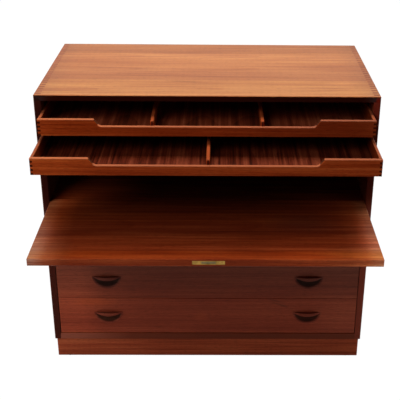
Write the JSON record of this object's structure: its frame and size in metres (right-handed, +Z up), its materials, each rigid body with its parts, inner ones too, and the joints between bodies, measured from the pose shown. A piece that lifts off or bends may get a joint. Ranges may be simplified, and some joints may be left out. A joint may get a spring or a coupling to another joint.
{
  "type": "drawer cabinet",
  "caption": "Drop-front cabinet in finger-jointed boards, with sliding trays behind the flap, drawers with scooped lip pulls below, and a recessed plinth.",
  "frame": {"origin": "on the floor, midway across the width, and midway between the back and the open flap's edge", "axes": "+X to the right seen from the front, +Y to the back, +Z up"},
  "size_m": [1, 0.8424, 0.917],
  "materials": {
    "teak": "oiled, satin",
    "flap_teak": "oiled, satin",
    "front_teak": "oiled, satin",
    "plinth_teak": "oiled, matt",
    "tray_teak": "oiled, satin",
    "box_wood": "waxed, matt",
    "panel_ply": "veneered, matt",
    "brass": "aged, satin",
    "lock_steel": "brushed",
    "glide_plastic": "matt"
  },
  "bodies": {
    "carcass": {"back_panel": "panel_ply", "bottom_panel": "teak", "compartment_floor": "teak", "flap_hinge_plates": "brass", "flap_rail": "teak", "floor_glides": "glide_plastic", "left_side_panel": "teak", "lock_strike": "brass", "lower_drawer_runners": "box_wood", "lower_tray_runners": "box_wood", "middle_drawer_runners": "box_wood", "plinth_back_board": "plinth_teak", "plinth_corner_blocks": "box_wood", "plinth_front_board": "plinth_teak", "plinth_left_board": "plinth_teak", "plinth_right_board": "plinth_teak", "right_side_panel": "teak", "top_panel": "teak", "upper_drawer_runners": "box_wood", "upper_tray_runners": "box_wood"},
    "flap": {"flap_hinge_leaves": "brass", "flap_panel": "flap_teak", "keyhole_escutcheon": "brass", "lock_case": "lock_steel", "lock_plate": "brass"},
    "lock_bolt": {"lock_bolt": "lock_steel"},
    "lower_drawer": {"lower_drawer_back": "box_wood", "lower_drawer_bottom": "box_wood", "lower_drawer_front": "front_teak", "lower_drawer_left_side": "box_wood", "lower_drawer_pulls": "front_teak", "lower_drawer_right_side": "box_wood"},
    "lower_tray": {"lower_tray_back": "tray_teak", "lower_tray_bottom": "tray_teak", "lower_tray_divider": "tray_teak", "lower_tray_front": "tray_teak", "lower_tray_left_side": "tray_teak", "lower_tray_right_side": "tray_teak"},
    "middle_drawer": {"middle_drawer_back": "box_wood", "middle_drawer_bottom": "box_wood", "middle_drawer_front": "front_teak", "middle_drawer_left_side": "box_wood", "middle_drawer_pulls": "front_teak", "middle_drawer_right_side": "box_wood"},
    "upper_drawer": {"upper_drawer_back": "box_wood", "upper_drawer_bottom": "box_wood", "upper_drawer_front": "front_teak", "upper_drawer_left_side": "box_wood", "upper_drawer_pulls": "front_teak", "upper_drawer_right_side": "box_wood"},
    "upper_tray": {"upper_tray_back": "tray_teak", "upper_tray_bottom": "tray_teak", "upper_tray_dividers": "tray_teak", "upper_tray_front": "tray_teak", "upper_tray_left_side": "tray_teak", "upper_tray_right_side": "tray_teak"}
  },
  "joints": [
    {"name": "flap_hinge", "type": "hinge", "parent": "carcass", "child": "flap", "pos_m": [0, -0.08281, 0.55812], "axis": [-1, 0, 0], "range_deg": [0, 90]},
    {"name": "lock_bolt_slide", "type": "slide", "parent": "flap", "child": "lock_bolt", "axis": [0, -1, 0], "range_m": [0, 0.008]},
    {"name": "upper_tray_slide", "type": "slide", "parent": "carcass", "child": "upper_tray", "axis": [0, -1, 0], "range_m": [-0.092, 0.25]},
    {"name": "lower_tray_slide", "type": "slide", "parent": "carcass", "child": "lower_tray", "axis": [0, -1, 0], "range_m": [-0.222, 0.12]},
    {"name": "upper_drawer_slide", "type": "slide", "parent": "carcass", "child": "upper_drawer", "axis": [0, -1, 0], "range_m": [0, 0.36]},
    {"name": "middle_drawer_slide", "type": "slide", "parent": "carcass", "child": "middle_drawer", "axis": [0, -1, 0], "range_m": [0, 0.36]},
    {"name": "lower_drawer_slide", "type": "slide", "parent": "carcass", "child": "lower_drawer", "axis": [0, -1, 0], "range_m": [0, 0.36]}
  ],
  "couplings": [
    {"joint": "upper_tray_slide", "follows": "flap_hinge", "m_per_rad": -0.058569},
    {"joint": "lower_tray_slide", "follows": "flap_hinge", "m_per_rad": -0.14133}
  ]
}
